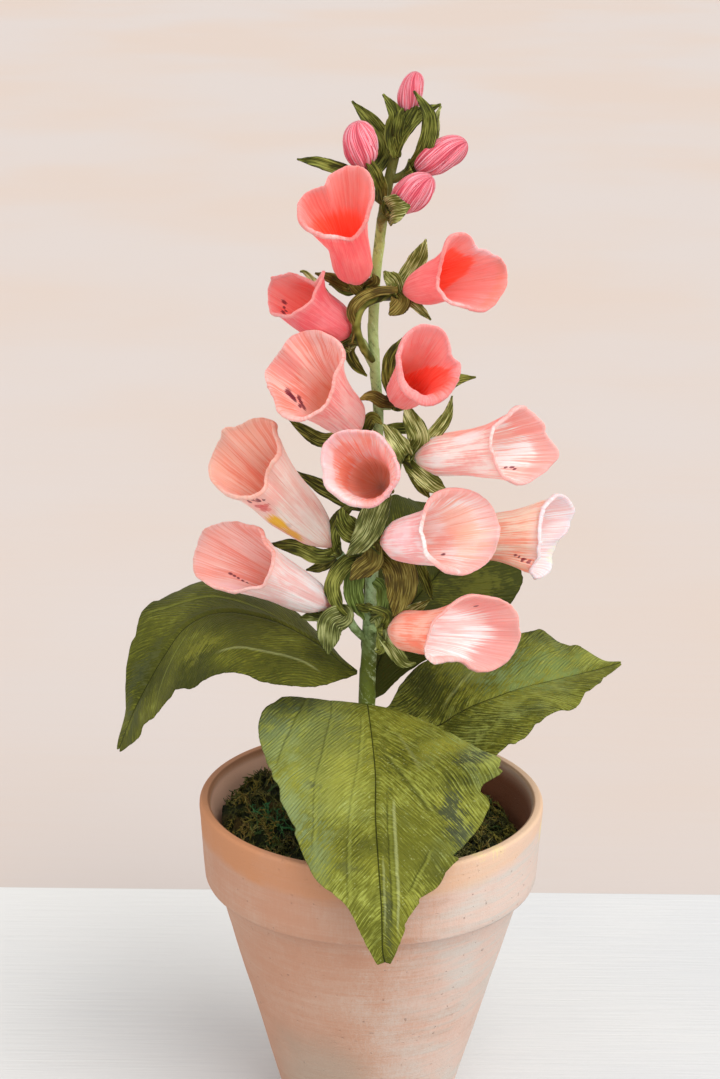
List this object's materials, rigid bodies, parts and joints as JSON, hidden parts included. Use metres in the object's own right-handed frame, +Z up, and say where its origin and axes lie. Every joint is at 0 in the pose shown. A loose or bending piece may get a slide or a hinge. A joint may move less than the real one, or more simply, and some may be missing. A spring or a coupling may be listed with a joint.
{
  "type": "potted paper foxglove",
  "caption": "Hand-made crepe-paper foxglove with pink bells, buds and broad leaves, standing in moss in a terracotta pot; a table or shelf decoration.",
  "frame": {"origin": "middle of the pot's foot, on the surface it stands on", "axes": "+Z up along the stem, -Y towards the side that the flowers face, +X to the right of someone facing them"},
  "size_m": [0.1613, 0.1406, 0.338],
  "materials": {
    "terracotta": "matte",
    "foam": "matte",
    "moss": "matte",
    "stem_paper": "matte",
    "leaf_paper": "satin",
    "bell_coral": "matte",
    "bell_pale": "matte",
    "bud_paper": "matte"
  },
  "bodies": {
    "root": {"pot": "terracotta", "foam": "foam", "moss": "moss", "stem": "stem_paper", "leaf_front": "leaf_paper", "leaf_left": "leaf_paper", "leaf_right": "leaf_paper", "leaf_back": "leaf_paper", "bell_a": "bell_coral", "bell_b": "bell_coral", "bell_c": "bell_coral", "bell_d": "bell_coral", "bell_e": "bell_pale", "bell_f": "bell_pale", "bell_g": "bell_pale", "bell_h": "bell_pale", "bell_i": "bell_pale", "bell_j": "bell_pale", "bell_k": "bell_pale", "bell_l": "bell_pale", "calyx_a": "leaf_paper", "calyx_b": "leaf_paper", "calyx_c": "leaf_paper", "calyx_d": "leaf_paper", "calyx_e": "leaf_paper", "calyx_f": "leaf_paper", "calyx_g": "leaf_paper", "calyx_h": "leaf_paper", "calyx_i": "leaf_paper", "calyx_j": "leaf_paper", "calyx_k": "leaf_paper", "calyx_l": "leaf_paper", "bud_1": "bud_paper", "bud_2": "bud_paper", "bud_3": "bud_paper", "bud_4": "bud_paper", "bud_calyx_1": "leaf_paper", "bud_calyx_2": "leaf_paper", "bud_calyx_3": "leaf_paper", "bud_calyx_4": "leaf_paper"}
  },
  "joints": []
}
